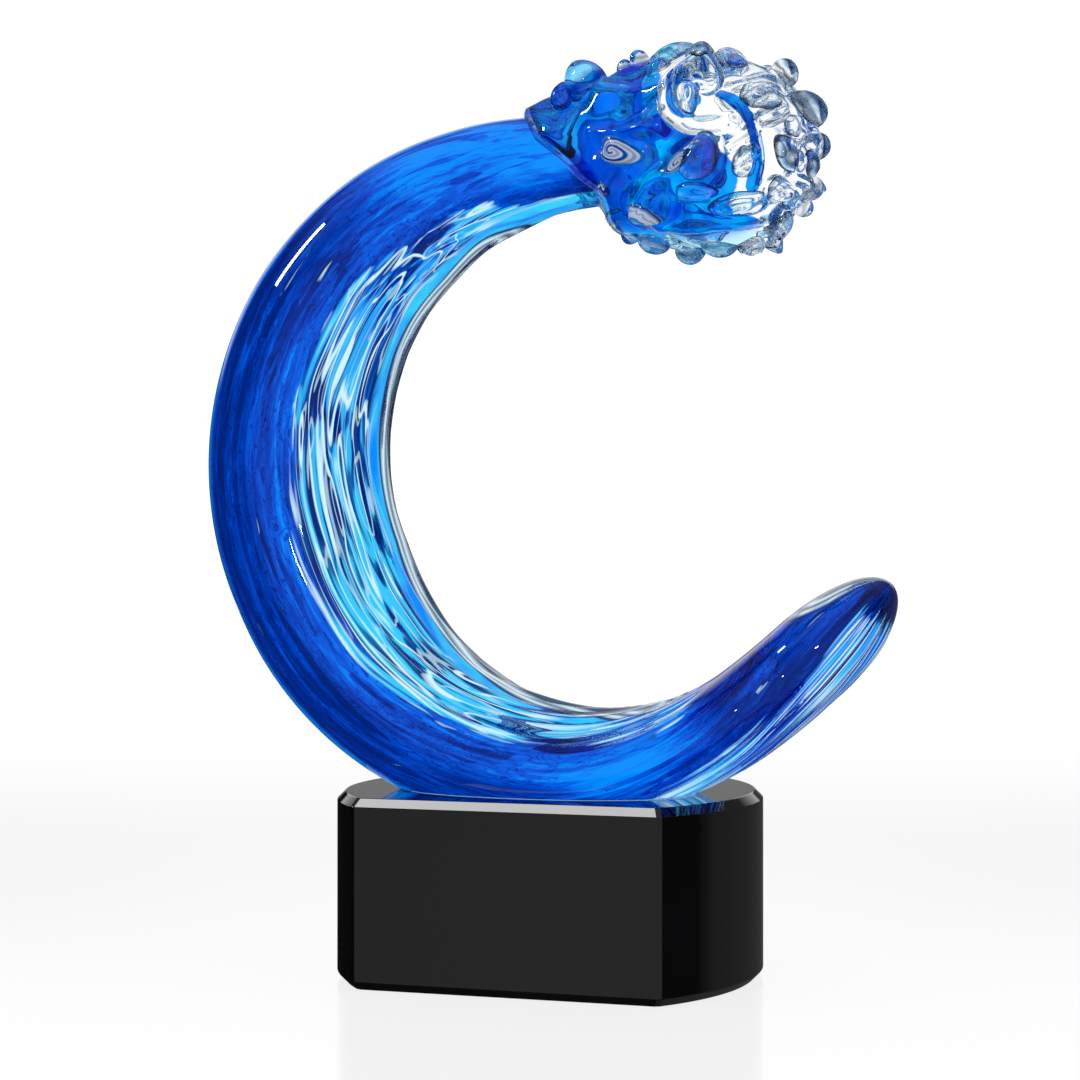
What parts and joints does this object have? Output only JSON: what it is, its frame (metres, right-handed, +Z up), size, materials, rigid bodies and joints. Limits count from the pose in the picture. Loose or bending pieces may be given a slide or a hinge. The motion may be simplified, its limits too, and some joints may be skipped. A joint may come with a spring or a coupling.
{
  "type": "glass wave sculpture",
  "caption": "Curling wave of solid blue glass with a foam crest of clear drops, bonded by its ground foot to a bevelled black glass block.",
  "frame": {"origin": "centre of the base block's underside", "axes": "+X along the block's front face to the right, -Y out of the front face, +Z up"},
  "size_m": [0.1696, 0.076, 0.2226],
  "materials": {
    "black_glass": "polished opaque black glass",
    "blue_glass": "fire-polished cobalt blue glass with aqua and white streaks",
    "clear_glass": "fire-polished clear glass",
    "clear_adhesive": "cured clear adhesive"
  },
  "bodies": {
    "root": {"base_block": "black_glass", "bond_film": "clear_adhesive", "wave_body": "blue_glass", "crest_hood": "blue_glass", "crest_nose": "clear_glass", "foam_drop_01": "blue_glass", "foam_drop_02": "blue_glass", "foam_drop_03": "clear_glass", "foam_drop_04": "blue_glass", "foam_drop_05": "blue_glass", "foam_drop_06": "clear_glass", "foam_drop_07": "blue_glass", "foam_drop_08": "clear_glass", "foam_drop_09": "clear_glass", "foam_drop_10": "clear_glass", "foam_drop_11": "clear_glass", "foam_drop_12": "blue_glass", "foam_drop_13": "clear_glass", "foam_drop_14": "clear_glass"}
  },
  "joints": []
}
